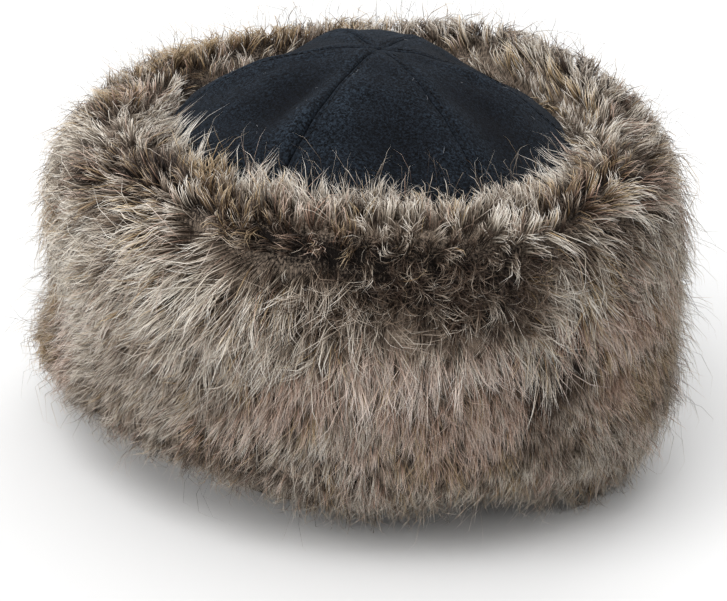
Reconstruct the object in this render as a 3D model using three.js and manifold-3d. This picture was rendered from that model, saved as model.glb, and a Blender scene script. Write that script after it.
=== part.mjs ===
// A round winter hat: a soft domed crown of six felt gores, sunk in a deep cuff of long-pile fur.
// Millimetres, +Z up. The origin is the middle of the hem, on the surface that the hat stands on.
// An azimuth is in degrees round +Z: 0 is the front (-Y), 90 is +X, 180 is the back.

import * as THREE from "three";
import { mergeVertices } from "three/addons/utils/BufferGeometryUtils.js";
import Module from "manifold-3d";

// Felt crown
const HEAD_RADIUS = 92;
const FELT_THICKNESS = 2;
const CROWN_HEIGHT = 179;
const CROWN_EDGE_RADIUS = 85;
const CROWN_EDGE_HEIGHT = 146;
const FELT_WALL_HEIGHT = 116;
const SEAM_GAP = 0.3;
const GORE_POINT_RADIUS = 0.8;
const GORE_COLUMNS = 6;
const DOME_ROWS = 8;
const EDGE_ROWS = 3;
const WALL_ROWS = 3;

// Seams between the gores, by azimuth
const SEAM_AZIMUTHS = [-25, 32, 88, 150, 210, 269];

// Soft ridges and hollows of the dome. They run out from the top along an azimuth, between two radii.
// Across that line each is `width` wide, and `lift` high, or deep where it is negative.
const CROWN_FOLDS = [
  { azimuth: -30, inner: 24, outer: 92, width: 18, lift: 2.2 },
  { azimuth: -12, inner: 16, outer: 66, width: 20, lift: 1.2 },
  { azimuth: -46, inner: 18, outer: 84, width: 48, lift: -3.4 },
  { azimuth: 9, inner: 38, outer: 96, width: 48, lift: -2.6 },
  { azimuth: 40, inner: 24, outer: 90, width: 16, lift: 1.8 },
  { azimuth: 56, inner: 26, outer: 96, width: 52, lift: -3.4 },
  { azimuth: 88, inner: 10, outer: 84, width: 18, lift: 1.8 },
  { azimuth: 120, inner: 14, outer: 84, width: 60, lift: -3.4 },
  { azimuth: 150, inner: 10, outer: 84, width: 18, lift: 1.6 },
  { azimuth: 180, inner: 20, outer: 84, width: 60, lift: -2.4 },
  { azimuth: 210, inner: 10, outer: 84, width: 18, lift: 2.4 },
  { azimuth: 240, inner: 14, outer: 84, width: 56, lift: -3.4 },
  { azimuth: 268, inner: 10, outer: 90, width: 20, lift: 2.4 },
];

// Fur cuff: the outside of the pile at evenly spaced azimuths from the front, turning towards +X.
// `crest` and `hem` are heights, the others are radii: just below the crest, at the three heights
// below, and at the hem.
const BELLY_HEIGHT = 104;
const WAIST_HEIGHT = 68;
const SKIRT_HEIGHT = 34;
const CUFF_SECTIONS = [
  { crest: 150, shoulder: 134, belly: 147, waist: 148, skirt: 144, tuck: 118, hem: 8 },
  { crest: 151, shoulder: 136, belly: 146, waist: 148, skirt: 144, tuck: 122, hem: 13 },
  { crest: 153, shoulder: 138, belly: 145, waist: 148, skirt: 150, tuck: 136, hem: 0 },
  { crest: 158, shoulder: 140, belly: 143, waist: 147, skirt: 149, tuck: 131, hem: 3 },
  { crest: 165, shoulder: 144, belly: 147, waist: 148, skirt: 146, tuck: 124, hem: 5 },
  { crest: 167, shoulder: 143, belly: 148, waist: 148, skirt: 144, tuck: 122, hem: 5 },
  { crest: 161, shoulder: 141, belly: 148, waist: 148, skirt: 143, tuck: 121, hem: 5 },
  { crest: 159, shoulder: 140, belly: 148, waist: 148, skirt: 143, tuck: 121, hem: 5 },
  { crest: 159, shoulder: 141, belly: 148, waist: 147, skirt: 146, tuck: 122, hem: 6 },
  { crest: 154, shoulder: 141, belly: 146, waist: 142, skirt: 151, tuck: 130, hem: 9 },
  { crest: 150, shoulder: 136, belly: 147, waist: 146, skirt: 147, tuck: 120, hem: 21 },
  { crest: 149, shoulder: 134, belly: 148, waist: 148, skirt: 144, tuck: 114, hem: 15 },
];
const TIP_RADIUS = 88;
const TIP_HEIGHT = 149;
const CREST_RADIUS = 114;
const CREST_HALF_WIDTH = 13;
const SHOULDER_DROP = 14;

// The cuff's solid core: how far it lies below the pile's mean surface, where on the way over the
// pile it ends, and how far in from the hem's outside it meets the floor
const BODY_DEPTH = 5;
const BODY_END = 0.92;
const BODY_TUCK = 14;
const BODY_COLUMNS = 32;
const BODY_ROWS = 7;

// Room round the felt, which keeps facet from facet by about 0.3 mm
const FELT_CLEARANCE = 0.5;
const ROOM_COLUMNS = 48;

// How far uncut solids run past the felt wall and the floor that they are cut to
const OVERRUN = 4;

// Dents of the pile, each with its middle, its size round and up the cuff, and its depth
const CUFF_DENTS = [
  { azimuth: 38, height: 46, width: 14, tall: 60, depth: 7 },
  { azimuth: 26, height: 12, width: 20, tall: 40, depth: 6 },
];

// Rows of locks. `from` and `to` are shares of the way over the pile, from the tips on the crown (0)
// to the hem (1): the two upper rows lie inwards from the parting, the others hang down from it.
// `count` locks go round. `lift` and `under` are the heights of a tip and of its underside, from the
// pile's mean surface: the undersides lie in the cuff's body, apart from those at the two edges.
const LOCK_ROWS = [
  { from: 0.15, to: -0.02, count: 28, width: 18, height: 6, lift: 1, under: -1 },
  { from: 0.25, to: 0.06, count: 30, width: 25, height: 7, lift: 4, under: -8 },
  { from: 0.26, to: 0.46, count: 30, width: 34, height: 7, lift: 3, under: -8 },
  { from: 0.4, to: 0.61, count: 30, width: 36, height: 7, lift: 3, under: -8 },
  { from: 0.54, to: 0.75, count: 30, width: 36, height: 7, lift: 3, under: -8 },
  { from: 0.67, to: 0.88, count: 30, width: 36, height: 7, lift: 3, under: -8 },
  { from: 0.79, to: 1.02, count: 32, width: 32, height: 7, lift: 2, under: -1 },
];
const LOCK_SINK = 3;
const LOCK_JITTER = 0.35;
const LOCK_LEAN = 0.3;
const WIDTH_JITTER = 0.2;
const TIP_JITTER = 0.03;

const FELT_COLOUR = 0x14171f;
const FUR_COLOUR = 0x8c8078;

const wasm = await Module();
wasm.setup();

function radians(degrees) {
  return (degrees * Math.PI) / 180;
}

function degrees(radians) {
  return (radians * 180) / Math.PI;
}

// A repeatable scatter from -1 to 1 for one lock of one row.
function scatter(row, column, salt) {
  const wave = Math.sin(row * 12.9898 + column * 78.233 + salt * 37.719) * 43758.5453;
  return 2 * (wave - Math.floor(wave)) - 1;
}

// A smooth bump: 1 in the middle, 0 from a distance of 1 outwards.
function bump(distance) {
  const near = Math.max(0, 1 - distance * distance);
  return near * near;
}

function turnBetween(a, b) {
  return ((((a - b + 180) % 360) + 360) % 360) - 180;
}

function cylindrical(radius, azimuth, height) {
  const angle = radians(azimuth);
  return new THREE.Vector3(radius * Math.sin(angle), -radius * Math.cos(angle), height);
}

// Height that the folds add to the dome at a radius.
function foldLift(radius, azimuth) {
  let lift = 0;
  for (const fold of CROWN_FOLDS) {
    const across = radius * radians(turnBetween(azimuth, fold.azimuth));
    const middle = (fold.inner + fold.outer) / 2;
    const along = (radius - middle) / (fold.outer - middle);
    lift += fold.lift * bump(across / (fold.width / 2)) * bump(along);
  }
  return lift;
}

// The felt's outside as radius and height, from the gores' points over the dome and down the wall.
function feltProfile() {
  const wallRadius = HEAD_RADIUS + FELT_THICKNESS;
  const fall = CROWN_HEIGHT - CROWN_EDGE_HEIGHT;
  const points = [];
  for (let i = 0; i < DOME_ROWS; i += 1) {
    const radius = THREE.MathUtils.lerp(GORE_POINT_RADIUS, CROWN_EDGE_RADIUS, i / DOME_ROWS);
    const share = radius / CROWN_EDGE_RADIUS;
    points.push(new THREE.Vector2(radius, CROWN_HEIGHT - fall * share * share));
  }
  const slope = (2 * fall) / CROWN_EDGE_RADIUS;
  const corner = CROWN_EDGE_HEIGHT - slope * (wallRadius - CROWN_EDGE_RADIUS);
  const edge = new THREE.QuadraticBezierCurve(
    new THREE.Vector2(CROWN_EDGE_RADIUS, CROWN_EDGE_HEIGHT),
    new THREE.Vector2(wallRadius, corner),
    new THREE.Vector2(wallRadius, FELT_WALL_HEIGHT),
  );
  points.push(...edge.getPoints(EDGE_ROWS));
  for (let i = 1; i <= WALL_ROWS; i += 1) {
    points.push(new THREE.Vector2(wallRadius, FELT_WALL_HEIGHT * (1 - i / WALL_ROWS)));
  }
  return points;
}

const FELT_PROFILE = feltProfile();

// A point of the felt on one row of its profile, `depth` below its outside.
function feltPoint(row, azimuth, depth) {
  const here = FELT_PROFILE[row];
  const before = FELT_PROFILE[Math.max(row - 1, 0)];
  const after = FELT_PROFILE[Math.min(row + 1, FELT_PROFILE.length - 1)];
  const along = new THREE.Vector2().subVectors(after, before).normalize();
  const radius = Math.max(here.x + along.y * depth, GORE_POINT_RADIUS / 2);
  const height = here.y - along.x * depth;
  return { radius, height: height + foldLift(here.x, azimuth) };
}

// A closed mesh from a grid of points, a row for each section. The rows close on themselves where
// `round` is true. Otherwise each section is a thin band, out along one side and back along the
// other, and the first and last are capped.
function loftGeometry(rows, round) {
  const columns = rows[0].length;
  const positions = rows.flat().flatMap((point) => point.toArray());
  const faces = [];
  const spans = round ? rows.length : rows.length - 1;
  for (let i = 0; i < spans; i += 1) {
    const next = (i + 1) % rows.length;
    for (let j = 0; j < columns; j += 1) {
      const side = (j + 1) % columns;
      const a = i * columns + j;
      const b = i * columns + side;
      const c = next * columns + side;
      const d = next * columns + j;
      faces.push(a, b, c, a, c, d);
    }
  }
  if (!round) {
    const last = (rows.length - 1) * columns;
    for (let j = 0; j < columns / 2 - 1; j += 1) {
      const back = columns - 1 - j;
      faces.push(j, back, j + 1, j + 1, back, back - 1);
      faces.push(last + j, last + j + 1, last + back, last + j + 1, last + back - 1, last + back);
    }
  }
  const geometry = new THREE.BufferGeometry();
  geometry.setAttribute("position", new THREE.Float32BufferAttribute(positions, 3));
  geometry.setIndex(faces);
  return geometry;
}

// One gore: a wedge of the dome and the wall between two seams, with its felt's thickness.
function goreGeometry(from, to) {
  const rows = [];
  for (let row = 0; row < FELT_PROFILE.length; row += 1) {
    const section = [];
    for (const [depth, backwards] of [[FELT_THICKNESS, false], [0, true]]) {
      for (let j = 0; j <= GORE_COLUMNS; j += 1) {
        const share = (backwards ? GORE_COLUMNS - j : j) / GORE_COLUMNS;
        const middle = feltPoint(row, (from + to) / 2, depth);
        const inset = degrees(Math.asin(Math.min(SEAM_GAP / 2 / middle.radius, 0.9)));
        const azimuth = THREE.MathUtils.lerp(from + inset, to - inset, share);
        const { radius, height } = feltPoint(row, azimuth, depth);
        section.push(cylindrical(radius, azimuth, height));
      }
    }
    rows.push(section);
  }
  return loftGeometry(rows, false);
}

// The cuff's section at any azimuth, smoothed between the rows of its table.
function cuffSection(azimuth) {
  const count = CUFF_SECTIONS.length;
  const place = ((((azimuth / 360) * count) % count) + count) % count;
  const index = Math.floor(place);
  const share = place - index;
  const near = [-1, 0, 1, 2].map((step) => CUFF_SECTIONS[(index + step + count) % count]);
  const section = {};
  for (const key of Object.keys(CUFF_SECTIONS[0])) {
    const [a, b, c, d] = near.map((entry) => entry[key]);
    const curve = 2 * a - 5 * b + 4 * c - d;
    const twist = 3 * b - 3 * c + d - a;
    section[key] = b + 0.5 * share * (c - a + share * (curve + share * twist));
  }
  return section;
}

function pileProfile(azimuth) {
  const { crest, shoulder, belly, waist, skirt, tuck, hem } = cuffSection(azimuth);
  return new THREE.SplineCurve([
    new THREE.Vector2(TIP_RADIUS, TIP_HEIGHT),
    new THREE.Vector2(CREST_RADIUS - CREST_HALF_WIDTH, crest - 2),
    new THREE.Vector2(CREST_RADIUS, crest),
    new THREE.Vector2(shoulder, crest - SHOULDER_DROP),
    new THREE.Vector2(belly, BELLY_HEIGHT),
    new THREE.Vector2(waist, WAIST_HEIGHT),
    new THREE.Vector2(skirt, SKIRT_HEIGHT),
    new THREE.Vector2(tuck, hem),
  ]);
}

function dentDepth(azimuth, height, radius) {
  let depth = 0;
  for (const dent of CUFF_DENTS) {
    const across = (radius * radians(turnBetween(azimuth, dent.azimuth))) / (dent.width / 2);
    const up = (height - dent.height) / (dent.tall / 2);
    depth += dent.depth * bump(Math.hypot(across, up));
  }
  return depth;
}

// A point of the pile at a share of the way over it, `lift` above its mean surface.
function pilePoint(azimuth, share, lift) {
  const curve = pileProfile(azimuth);
  const place = THREE.MathUtils.clamp(share, 0, 1);
  const point = curve.getPointAt(place);
  const along = curve.getTangentAt(place);
  const past = (share - place) * curve.getLength();
  const height = lift - dentDepth(azimuth, point.y, point.x);
  const radius = point.x - along.y * height + along.x * past;
  return cylindrical(radius, azimuth, point.y + along.x * height + along.y * past);
}

// The solid core of the cuff, a ring under the locks. It reaches into the felt and below the
// floor, where it is cut to fit afterwards.
function cuffBody() {
  const inside = HEAD_RADIUS + FELT_THICKNESS - OVERRUN;
  const rows = [];
  for (let i = 0; i < BODY_COLUMNS; i += 1) {
    const azimuth = (360 * i) / BODY_COLUMNS;
    const section = [];
    for (let j = 0; j <= BODY_ROWS; j += 1) {
      section.push(pilePoint(azimuth, (BODY_END * j) / BODY_ROWS, -BODY_DEPTH));
    }
    const { tuck } = cuffSection(azimuth);
    section.push(cylindrical(tuck - BODY_TUCK, azimuth, -OVERRUN));
    section.push(cylindrical(inside, azimuth, -OVERRUN));
    section.push(cylindrical(inside, azimuth, FELT_WALL_HEIGHT / 2));
    section.push(cylindrical(inside - 2 * OVERRUN, azimuth, FELT_WALL_HEIGHT));
    rows.push(section);
  }
  return loftGeometry(rows, true);
}

// One lock: a three-sided wedge, broad and sunk at its root, with a ridge on top, narrowing to an
// upright edge at its tip.
function lockGeometry(row, index) {
  const { from, to, count, width, height, lift, under } = LOCK_ROWS[row];
  const step = 360 / count;
  const stagger = (row % 2) / 2;
  const azimuth = (index + stagger + LOCK_JITTER * scatter(row, index, 1)) * step;
  const lean = LOCK_LEAN * step * scatter(row, index, 2);
  const end = to + TIP_JITTER * scatter(row, index, 3);
  const size = 1 + WIDTH_JITTER * scatter(row, index, 4);
  const root = pilePoint(azimuth, from, 0);
  const spread = degrees((width * size) / 2 / Math.hypot(root.x, root.y));
  const low = -BODY_DEPTH - LOCK_SINK;
  const sections = [
    { share: from, turn: azimuth, high: 1 - BODY_DEPTH },
    { share: (from + end) / 2, turn: azimuth + lean / 2, high: height - BODY_DEPTH },
  ];
  const points = [];
  for (const { share, turn, high } of sections) {
    points.push(pilePoint(turn - spread, share, low));
    points.push(pilePoint(turn, share, high));
    points.push(pilePoint(turn + spread, share, low));
  }
  points.push(pilePoint(azimuth + lean, end, lift + scatter(row, index, 5)));
  points.push(pilePoint(azimuth + lean, end, under));
  const faces = [0, 1, 2];
  for (let side = 0; side < 3; side += 1) {
    const next = (side + 1) % 3;
    faces.push(side, 3 + next, next, side, 3 + side, 3 + next);
  }
  faces.push(3, 6, 4, 4, 6, 5, 3, 7, 6, 5, 6, 7, 3, 5, 7);
  if (to < from) {
    for (let i = 0; i < faces.length; i += 3) {
      faces.splice(i, 3, faces[i], faces[i + 2], faces[i + 1]);
    }
  }
  const geometry = new THREE.BufferGeometry();
  const positions = points.flatMap((point) => point.toArray());
  geometry.setAttribute("position", new THREE.Float32BufferAttribute(positions, 3));
  geometry.setIndex(faces);
  return geometry;
}

// The felt and all inside it, with a little room round it, as a solid to cut the cuff with.
function capRoom() {
  const outside = HEAD_RADIUS + FELT_THICKNESS + FELT_CLEARANCE;
  const below = -2 * OVERRUN;
  const rows = [];
  for (let i = 0; i < ROOM_COLUMNS; i += 1) {
    const azimuth = (360 * i) / ROOM_COLUMNS;
    const section = [];
    for (let row = 0; row < FELT_PROFILE.length; row += 1) {
      const { radius, height } = feltPoint(row, azimuth, -FELT_CLEARANCE);
      section.push(cylindrical(radius, azimuth, height));
    }
    section.push(cylindrical(outside, azimuth, below));
    section.push(cylindrical(GORE_POINT_RADIUS / 2, azimuth, below));
    rows.push(section);
  }
  return loftGeometry(rows, true);
}

// Everything below the floor, as wide as the hat.
function belowFloor() {
  const width = 4 * CREST_RADIUS;
  const depth = 6 * OVERRUN;
  return new THREE.BoxGeometry(width, width, depth).translate(0, 0, -depth / 2);
}

function solidOf(geometry) {
  const plain = geometry.clone();
  plain.deleteAttribute("normal");
  plain.deleteAttribute("uv");
  const merged = mergeVertices(plain, 1e-4);
  const vertProperties = new Float32Array(merged.attributes.position.array);
  const triVerts = new Uint32Array(merged.index.array);
  return new wasm.Manifold(new wasm.Mesh({ numProp: 3, vertProperties, triVerts }));
}

function geometryOf(solid) {
  const { vertProperties, triVerts } = solid.getMesh();
  const geometry = new THREE.BufferGeometry();
  geometry.setAttribute("position", new THREE.BufferAttribute(vertProperties, 3));
  geometry.setIndex(new THREE.BufferAttribute(triVerts, 1));
  geometry.computeVertexNormals();
  return geometry;
}

function cuffGeometry() {
  let cuff = solidOf(cuffBody());
  LOCK_ROWS.forEach(({ count }, row) => {
    for (let index = 0; index < count; index += 1) {
      cuff = cuff.add(solidOf(lockGeometry(row, index)));
    }
  });
  return geometryOf(cuff.subtract(solidOf(capRoom())).subtract(solidOf(belowFloor())));
}

function namedMesh(name, geometry, material) {
  const mesh = new THREE.Mesh(geometry, material);
  mesh.name = name;
  return mesh;
}

const hat = new THREE.Group();
SEAM_AZIMUTHS.forEach((from, index) => {
  const last = index === SEAM_AZIMUTHS.length - 1;
  const to = last ? SEAM_AZIMUTHS[0] + 360 : SEAM_AZIMUTHS[index + 1];
  const felt = new THREE.MeshStandardMaterial({ color: FELT_COLOUR, roughness: 0.95, metalness: 0 });
  hat.add(namedMesh(`crown_panel_${index + 1}`, goreGeometry(from, to), felt));
});
const fur = new THREE.MeshStandardMaterial({ color: FUR_COLOUR, roughness: 0.8, metalness: 0 });
hat.add(namedMesh("fur_cuff", cuffGeometry(), fur));

export default hat;
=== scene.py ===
# A round winter hat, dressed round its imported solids: a domed crown of six felt gores in a deep cuff
# of long-pile fur. Tables of sizes are in millimetres and made metres where a mesh is built.
# An azimuth is in degrees round +Z: 0 is the front (-Y), 90 is +X, 180 is the back.

import math

import bpy
import numpy as np
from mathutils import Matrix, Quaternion, Vector


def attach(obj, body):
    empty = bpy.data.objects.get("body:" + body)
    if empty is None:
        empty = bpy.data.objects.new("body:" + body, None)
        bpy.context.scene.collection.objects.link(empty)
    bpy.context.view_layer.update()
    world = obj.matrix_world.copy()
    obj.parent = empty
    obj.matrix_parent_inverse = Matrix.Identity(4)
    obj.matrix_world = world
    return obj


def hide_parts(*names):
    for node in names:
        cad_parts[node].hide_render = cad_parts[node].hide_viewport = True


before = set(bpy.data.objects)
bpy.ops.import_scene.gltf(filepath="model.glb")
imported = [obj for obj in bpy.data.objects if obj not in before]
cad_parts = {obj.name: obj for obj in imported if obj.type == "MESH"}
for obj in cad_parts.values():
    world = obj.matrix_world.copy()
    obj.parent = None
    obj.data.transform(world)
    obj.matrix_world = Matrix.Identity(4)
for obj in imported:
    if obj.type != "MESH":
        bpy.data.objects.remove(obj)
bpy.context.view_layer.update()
scene = bpy.context.scene

# The camera stands in front of the hat and looks down on it, as for a catalogue picture of one that
# lies on a table. It is tipped a little round its line of sight, and aims below the hat's middle.
HAT_MIDDLE = Vector((0, 0, 0.075))
CAMERA_DISTANCE = 0.9
CAMERA_ELEVATION = math.radians(23)
CAMERA_TIP = math.radians(4)
CAMERA_AIM_BELOW = math.radians(1.05)
CAMERA_LENS = 96.2
sight = Vector((0, math.cos(CAMERA_ELEVATION), -math.sin(CAMERA_ELEVATION)))
camera = bpy.data.objects.new("catalogue_camera", bpy.data.cameras.new("catalogue_camera"))
camera.data.lens = CAMERA_LENS
camera.location = HAT_MIDDLE - CAMERA_DISTANCE * sight
camera.rotation_mode = "QUATERNION"
tip = Quaternion((0, 0, 1), CAMERA_TIP)
lower = Quaternion((1, 0, 0), -CAMERA_AIM_BELOW)
camera.rotation_quaternion = sight.to_track_quat("-Z", "Y") @ tip @ lower
scene.collection.objects.link(camera)
scene.camera = camera

# The crown is six gores of blue-black wool felt, 2 mm thick, fulled until no weave shows and sewn
# together at the sides. Each seam pulls the felt down into a ditch between two soft ridges, and worn
# folds and hollows run out from the top.
MM = 0.001
FELT_THICKNESS = 2
FELT_WALL_RADIUS = 94
FELT_WALL_HEIGHT = 116
CROWN_HEIGHT = 179
CROWN_EDGE_RADIUS = 85
CROWN_EDGE_HEIGHT = 146
SEAM_GAP = 0.3
GORE_POINT_RADIUS = 0.8
SEAMS = [
    # azimuth, how deep its ditch is
    (-25, 0.9),
    (32, 0.35),
    (88, 0.4),
    (150, 0.6),
    (210, 0.6),
    (269, 0.7),
]
NEAR_SEAM = np.array([0, 0.45, 0.9, 1.4, 2.0, 2.7, 3.6, 4.8])
NEAR_SEAM_SHARE = 0.55
MIDDLE_STEPS = 5
DOME_ROWS = 38
EDGE_ROWS = 8
WALL_ROWS = 3
CROWN_FOLDS = [
    # azimuth, inner radius, outer radius, width, lift
    (-31, 24, 92, 18, 3.6),
    (-14, 16, 80, 20, 2.2),
    (-46, 18, 84, 48, -3.8),
    (9, 38, 96, 48, -2.6),
    (40, 24, 90, 16, 1.8),
    (56, 26, 96, 52, -3.4),
    (88, 10, 84, 18, 2.2),
    (120, 14, 84, 60, -3.4),
    (150, 10, 84, 18, 1.6),
    (184, 6, 86, 84, 4.6),
    (210, 10, 84, 18, 2.4),
    (240, 14, 84, 56, -3.6),
    (268, 10, 90, 20, 3.2),
]
SEAM_DITCH_WIDTH = 0.7
RIDGE_SHARE = 0.6
RIDGE_DISTANCE = 4.2
RIDGE_WIDTH = 2.6
TOPSTITCH_DISTANCE = 2.4
TOPSTITCH_SHARE = 0.8
TOPSTITCH_WIDTH = 0.5
RELIEF_FULL_RADIUS = 8
FELT_UNEVENNESS = 0.35
FELT_UNEVEN_OVER = 24
FELT_SEED = 5
# How much the seams' relief adds to the felt's painted shade, and the heights that are painted darkest and
# palest.
RELIEF_SHADE = 1.7
DARKEST_HOLLOW = -4
PALEST_RIDGE = 3
RIPPLE_WAVES = 9


def turn_between(a, b):
    """Degrees from azimuth b to azimuth a, from -180 to 180."""
    return (a - b + 180) % 360 - 180


def bump(distance):
    """1 in the middle and 0 from a distance of 1 outwards."""
    return np.clip(1 - distance * distance, 0, None) ** 2


def cylindrical(radius, azimuth, height):
    """Points from radius, azimuth and height."""
    angle = np.radians(azimuth)
    return np.stack(np.broadcast_arrays(radius * np.sin(angle), -radius * np.cos(angle), height), -1)


def fold_lift(radius, azimuth):
    """What the folds add to the dome's height."""
    lift = 0
    for middle, inner, outer, width, height in CROWN_FOLDS:
        across = radius * np.radians(turn_between(azimuth, middle)) / (width / 2)
        along = (radius - (inner + outer) / 2) / ((outer - inner) / 2)
        lift = lift + height * bump(across) * bump(along)
    return lift


def seam_relief(radius, azimuth):
    """Ditch, ridges and topstitched line of the seams, fading out towards the gores' points."""
    relief = 0
    for seam, ditch in SEAMS:
        across = radius * np.radians(turn_between(azimuth, seam))
        ridge = np.exp(-(((np.abs(across) - RIDGE_DISTANCE) / RIDGE_WIDTH) ** 2))
        stitched = np.exp(-(((across - TOPSTITCH_DISTANCE) / TOPSTITCH_WIDTH) ** 2))
        relief = relief - ditch * np.exp(-((across / SEAM_DITCH_WIDTH) ** 2))
        relief = relief + ditch * (RIDGE_SHARE * ridge - TOPSTITCH_SHARE * stitched)
    return relief * np.clip(radius / RELIEF_FULL_RADIUS, 0, 1)


def ripple(points, wavelength, seed):
    """Soft uneven waves of about -1 to 1 through space."""
    rng = np.random.default_rng(seed)
    total = 0
    for _ in range(RIPPLE_WAVES):
        direction = rng.normal(size=3)
        direction /= np.linalg.norm(direction)
        size = wavelength * rng.uniform(0.7, 1.5)
        total = total + np.sin(points @ direction * 2 * math.pi / size + rng.uniform(0, 2 * math.pi))
    return total / math.sqrt(RIPPLE_WAVES)


def crown_edge(travel):
    """Radius and height on the round edge between dome and wall, from 0 to 1."""
    slope = 2 * (CROWN_HEIGHT - CROWN_EDGE_HEIGHT) / CROWN_EDGE_RADIUS
    corner = CROWN_EDGE_HEIGHT - slope * (FELT_WALL_RADIUS - CROWN_EDGE_RADIUS)
    stay, mixed, gone = (1 - travel) ** 2, 2 * travel * (1 - travel), travel ** 2
    radius = stay * CROWN_EDGE_RADIUS + (mixed + gone) * FELT_WALL_RADIUS
    return radius, stay * CROWN_EDGE_HEIGHT + mixed * corner + gone * FELT_WALL_HEIGHT


def felt_height(radius, azimuth):
    """Height of the felt's outside at a radius within its wall."""
    dome = CROWN_HEIGHT - (CROWN_HEIGHT - CROWN_EDGE_HEIGHT) * (radius / CROWN_EDGE_RADIUS) ** 2
    past = np.clip((radius - CROWN_EDGE_RADIUS) / (FELT_WALL_RADIUS - CROWN_EDGE_RADIUS), 0, 1)
    edge = crown_edge(1 - np.sqrt(1 - past))[1]
    return np.where(radius < CROWN_EDGE_RADIUS, dome, edge) + fold_lift(radius, azimuth)


def felt_profile():
    """Radius and height down the felt's outside, and its direction there."""
    radius = np.linspace(GORE_POINT_RADIUS, CROWN_EDGE_RADIUS, DOME_ROWS)
    height = CROWN_HEIGHT - (CROWN_HEIGHT - CROWN_EDGE_HEIGHT) * (radius / CROWN_EDGE_RADIUS) ** 2
    edge_radius, edge_height = crown_edge(np.arange(1, EDGE_ROWS + 1) / EDGE_ROWS)
    wall = FELT_WALL_HEIGHT * (1 - np.arange(1, WALL_ROWS + 1) / WALL_ROWS)
    radius = np.concatenate([radius, edge_radius, np.full(WALL_ROWS, FELT_WALL_RADIUS)])
    height = np.concatenate([height, edge_height, wall])
    along = np.stack([np.gradient(radius), np.gradient(height)], 1)
    return radius, height, along / np.linalg.norm(along, axis=1, keepdims=True)


def gore_columns(half_width):
    """Distances from a seam across a gore, close together beside both seams, for each row's width."""
    near = NEAR_SEAM * np.minimum(1, NEAR_SEAM_SHARE * half_width / NEAR_SEAM[-1])[:, None]
    share = np.arange(1, MIDDLE_STEPS + 1) / MIDDLE_STEPS
    half = np.concatenate([near, near[:, -1:] + (half_width[:, None] - near[:, -1:]) * share], 1)
    return np.concatenate([half, 2 * half_width[:, None] - half[:, -2::-1]], 1)


def mesh_object(name, points, faces):
    """An object from points in millimetres and a list of face arrays, one for each number of corners."""
    mesh = bpy.data.meshes.new(name)
    mesh.vertices.add(len(points))
    mesh.vertices.foreach_set("co", np.ascontiguousarray(points * MM, np.float32).ravel())
    corners = np.concatenate([part.ravel() for part in faces])
    sizes = np.concatenate([np.full(len(part), part.shape[1]) for part in faces])
    starts = np.concatenate([[0], np.cumsum(sizes)[:-1]])
    mesh.loops.add(len(corners))
    mesh.loops.foreach_set("vertex_index", corners.astype(np.int32))
    mesh.polygons.add(len(sizes))
    mesh.polygons.foreach_set("loop_start", starts.astype(np.int32))
    mesh.polygons.foreach_set("use_smooth", np.ones(len(sizes), bool))
    mesh.update(calc_edges=True)
    piece = bpy.data.objects.new(name, mesh)
    scene.collection.objects.link(piece)
    return piece


def shell_faces(rows, columns):
    """Faces of a closed shell: a grid of rows and columns, the same grid under it, and its rim."""
    index = np.arange(rows * columns).reshape(rows, columns)
    top = np.stack([index[:-1, :-1], index[1:, :-1], index[1:, 1:], index[:-1, 1:]], -1).reshape(-1, 4)
    under = top[:, ::-1] + rows * columns
    rim = np.concatenate([index[0, :-1], index[:-1, -1], index[-1, :0:-1], index[:0:-1, 0]])
    after = np.roll(rim, -1)
    sides = np.stack([rim, after, after + rows * columns, rim + rows * columns], 1)
    return [np.concatenate([top, under, sides])]


def linear(hex_colour):
    """A colour's linear red, green, blue and alpha from its sRGB hex value."""
    parts = [((hex_colour >> shift) & 255) / 255 for shift in (16, 8, 0)]
    return [c / 12.92 if c <= 0.04045 else ((c + 0.055) / 1.055) ** 2.4 for c in parts] + [1]


def add_node(material, kind, inputs=None, links=None, **settings):
    """Adds a node to a material, with its settings, input values and links from other sockets."""
    node = material.node_tree.nodes.new(kind)
    for key, value in settings.items():
        setattr(node, key, value)
    for key, value in (inputs or {}).items():
        node.inputs[key].default_value = value
    for key, socket in (links or {}).items():
        material.node_tree.links.new(socket, node.inputs[key])
    return node


def set_stops(ramp, *stops):
    """Sets a colour ramp's stops from places and sRGB hex values."""
    elements = ramp.color_ramp.elements
    while len(elements) < len(stops):
        elements.new(0.5)
    for element, (place, hex_colour) in zip(elements, stops):
        element.position = place
        element.color = linear(hex_colour)


def new_material(name):
    """A material that has no nodes yet."""
    material = bpy.data.materials.new(name)
    material.use_nodes = True
    material.node_tree.nodes.clear()
    return material


# Fulled wool: a matt, very dark blue-black, heathered with paler fibres and with a faint bloom at grazing
# angles. Wear and shade are painted over it: paler high on the folds, where the felt is rubbed and catches
# the light, and darker low in the hollows and seam ditches, where shade falls. Its fibres are 0.02 mm, too
# fine to show, so heather and nap are drawn in grains of about 1 mm.
felt = new_material("fulled_wool_felt")
place = add_node(felt, "ShaderNodeTexCoord").outputs["Object"]
heather = add_node(
    felt,
    "ShaderNodeTexNoise",
    {"Scale": 1 / (1.1 * MM), "Detail": 5, "Roughness": 0.8, "Distortion": 0.6},
    {"Vector": place},
)
cloud = add_node(felt, "ShaderNodeTexNoise", {"Scale": 1 / (14 * MM), "Detail": 4}, {"Vector": place})
nap_grain = add_node(
    felt, "ShaderNodeTexNoise", {"Scale": 1 / (0.9 * MM), "Detail": 4, "Roughness": 0.8}, {"Vector": place}
)
heather_colour = add_node(felt, "ShaderNodeValToRGB", links={"Fac": heather.outputs["Fac"]})
set_stops(heather_colour, (0.45, 0x030406), (0.62, 0x303A45))
worn_share = add_node(
    felt,
    "ShaderNodeMapRange",
    {"From Min": 0.42, "From Max": 0.72, "To Min": 0, "To Max": 0.4},
    {"Value": cloud.outputs["Fac"]},
)
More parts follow.
